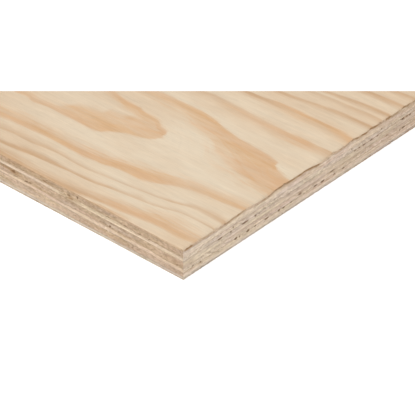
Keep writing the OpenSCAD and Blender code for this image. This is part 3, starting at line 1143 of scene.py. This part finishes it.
# Waves run along the edge, into it and up it.
edgeGrain = dict(
    blotch=look((60, 60, 420), 0, 3.0, 0.6),
    checks=look((1100, 200, 130), 1, 2.0, span=(0.54, 0.74), tone=(1.03, 0.88)),
    endPores=look((420, 420, 1100), 2, 4.0, 0.7, tone=(0.7, 1.3), eased=False),
    lines=look((14, 14, 800), 0, 4.0, 0.65, tone=(0.86, 1.12), eased=False),
    drift=look((30, 30, 260), 1, 2.0),
    longPores=look((420, 420, 1100), 2, 4.0, 0.7, tone=(0.82, 1.18), eased=False),
    dashes=look((300, 300, 900), 6, 2.0, 0.6, (0.55, 0.7), (1.03, 0.84)),
    hue=look((45, 45, 330), 4, 2.0, span=(0.35, 0.65)),
    patchy=look((55, 55, 55), 3, 2.0, span=(0.4, 0.62)),
    cloudy=look((300, 300, 700), 5, 3.0, tone=(0.5, 1.4)),
)


def edgeColour(colour):
    # The wood's own colour, given what an upright edge shows.
    light = np.array(linear(colour)[:3]) / edgeFinish["sideLight"]
    return (*light, 1.0)


def shade(colour, factor):
    # The colour times the factor.
    return (*(np.array(colour[:3]) * factor), 1.0)


def warmTone(tree, tone):
    # A grey tone made warmer as it darkens: green and blue are the tone raised to powers above 1.
    green, blue = (calc(tree, "POWER", tone, power) for power in edgeFinish["warmPowers"])
    return addNode(tree, "ShaderNodeCombineColor", {"Red": tone, "Green": green, "Blue": blue}).outputs[0]


def sawnMaterial(name, colour, isEndGrain, isLong, seed):
    # A sawn edge. Long grain shows fine lines along the edge. End grain shows blotches, slanted knife checks
    # and open pores. Glue darkens both joints, and voids are dark inside: partly dirt and glue, partly
    # painted shade of the hollow.
    material, tree = startMaterial(name)
    coords = addNode(tree, "ShaderNodeTexCoord").outputs["Object"]
    finish = edgeFinish
    across = readValue(tree, "across")
    toJoint = calc(tree, "MINIMUM", across, calc(tree, "SUBTRACT", 1.0, across))

    def edgeTone(name, turn=(0, 0, 0)):
        # One noise of the edge, as its tone.
        return grainTone(tree, coords, edgeGrain[name], seed, turn, not isLong)

    if isEndGrain:
        slant = math.radians(finish["checkSlant"])
        checks = edgeTone("checks", (0, slant, 0) if isLong else (-slant, 0, 0))
        tone = product(tree, checks, edgeTone("endPores"))
        drift = edgeTone("blotch")
    else:
        soft = remap(tree, toJoint, 0.0, finish["softWidth"], finish["softShade"], 1.0)
        tone = product(tree, edgeTone("lines"), edgeTone("longPores"), edgeTone("dashes"), soft)
        drift = edgeTone("drift")
    kind = "end" if isEndGrain else "long"
    darker, lighter = (shade(edgeColour(colour), factor) for factor in finish[kind + "Shades"])
    colour = mixColour(tree, drift, darker, lighter)
    colour = mixColour(tree, 1.0, colour, warmTone(tree, tone), "MULTIPLY")
    tint = mixColour(tree, edgeTone("hue"), finish["warmTint"], finish["coolTint"])
    colour = mixColour(tree, 1.0, colour, tint, "MULTIPLY")
    glue = remap(tree, toJoint, 0.0, finish["glueWidth"], finish["glueShare"], 0.0)
    glue = product(tree, glue, edgeTone("patchy"))
    # Stains darken, with painted shade along the bottom edge and in the torn line; pale chips lighten.
    stainAndShade = product(tree, readValue(tree, "stainAndShade"), edgeTone("cloudy"))
    chip = product(tree, stainAndShade, -1.0)
    for share, name in ((glue, "glueColour"), (stainAndShade, "stainAndShadeColour"), (chip, "chipColour")):
        colour = mixColour(tree, share, colour, edgeColour(finish[name]))
    # Voids turn dark: partly dirt and glue, partly painted shade.
    voidDirtAndShade = remap(tree, readValue(tree, "voidDirtAndShade"), *finish["voidSpan"], 0.0, finish["voidShare"])
    colour = mixColour(tree, voidDirtAndShade, colour, linear(finish["voidDirtAndShadeColour"]))
    endMaterial(tree, colour, finish["roughness"], tone, finish[kind + "Bump"], finish["specular"])
    return material


# Putting the sheet together

tornShare, tornHeight, endCalm = tearFace()
joints = jointHeights(tornHeight, endCalm)
faceFinish = veneerFace("face_figure", faceWood)
backFinish = veneerFace("back_figure", backWood)
broadSlot = 2    # after the materials of the long edges and the ends
for index, node in enumerate(plyNodes):
    mesh, wallFaces, before, rows = makePly(index, joints, tornShare)
    runsAcross = index % 2 == 1
    frontSeed = edgeFinish["frontSeed"] + edgeFinish["seedStep"] * index
    endSeed = edgeFinish["endSeed"] + edgeFinish["seedStep"] * index
    front = sawnMaterial(node + "_long_edge", edgeWood[node]["front"], runsAcross, True, frontSeed)
    end = sawnMaterial(node + "_end", edgeWood[node]["end"], not runsAcross, False, endSeed)
    broad = faceFinish if node == "face_veneer" else backFinish
    for material in (front, end, broad):
        mesh.materials.append(material)
    ring = np.arange(wallFaces) // roundCount
    onEdge = (ring >= before) & (ring < before + rows - 1)
    kinds = np.full(len(mesh.polygons), broadSlot, np.int32)
    kinds[:wallFaces] = np.where(onEdge, np.tile(edgeOf % 2, wallFaces // roundCount), broadSlot)
    mesh.polygons.foreach_set("material_index", kinds)
    mesh.polygons.foreach_set("use_smooth", np.full(len(mesh.polygons), True))
    mesh.validate()
    mesh.update()
    piece = bpy.data.objects.new(node + "_ply", mesh)
    bpy.context.scene.collection.objects.link(piece)
    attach(piece, "root")
    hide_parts(node)
    triangles = len(mesh.loops) - 2 * len(mesh.polygons)
    print(node, "has", len(mesh.vertices), "vertices and", triangles, "triangles")
